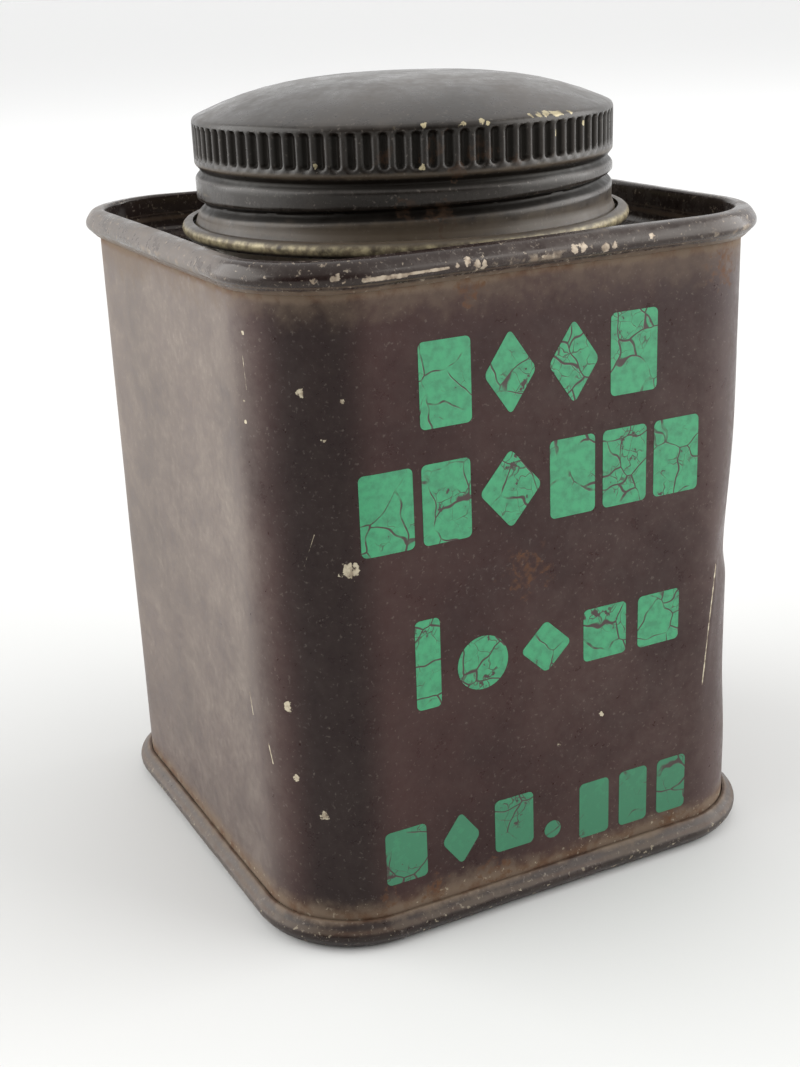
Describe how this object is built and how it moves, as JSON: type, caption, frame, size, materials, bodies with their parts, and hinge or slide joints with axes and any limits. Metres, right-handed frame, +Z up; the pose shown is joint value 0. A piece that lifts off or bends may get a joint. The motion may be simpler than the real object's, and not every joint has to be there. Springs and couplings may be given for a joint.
{
  "type": "powder tin",
  "caption": "Square tinplate powder canister with rounded corners, double-seamed ends, a sifter neck and a knurled screw cap.",
  "frame": {"origin": "centre of the footprint, on the surface that the tin stands on", "axes": "+Z up along the body and the cap's turning axis; the printed front faces -Y; +X is to the right of someone who looks at the front"},
  "size_m": [0.0474, 0.0474, 0.0666],
  "materials": {
    "enamelled_tinplate": "semi-gloss dark brown enamel, worn and dusty",
    "cap_enamel": "semi-gloss black-brown enamel, worn on its edges",
    "bare_tinplate": "dull bare tin",
    "pulpboard": "matt pulpboard",
    "waxed_paper": "satin waxed paper"
  },
  "bodies": {
    "tin": {"body_shell": "enamelled_tinplate", "top_end": "enamelled_tinplate", "bottom_end": "enamelled_tinplate", "neck_ring": "bare_tinplate", "sifter_disc": "bare_tinplate"},
    "liner": {"cap_liner": "pulpboard", "liner_facing": "waxed_paper"},
    "cap": {"cap_shell": "cap_enamel"}
  },
  "joints": [
    {"name": "cap_lift", "type": "slide", "parent": "tin", "child": "liner", "axis": [0, 0, 1], "range_m": [0, 0.00945]},
    {"name": "cap_turn", "type": "hinge", "parent": "liner", "child": "cap", "pos_m": [0, 0, 0.058], "axis": [0, 0, 1], "range_deg": [0, 1260]}
  ],
  "couplings": [
    {"joint": "cap_lift", "follows": "cap_turn", "m_per_rad": 0.00042972}
  ]
}
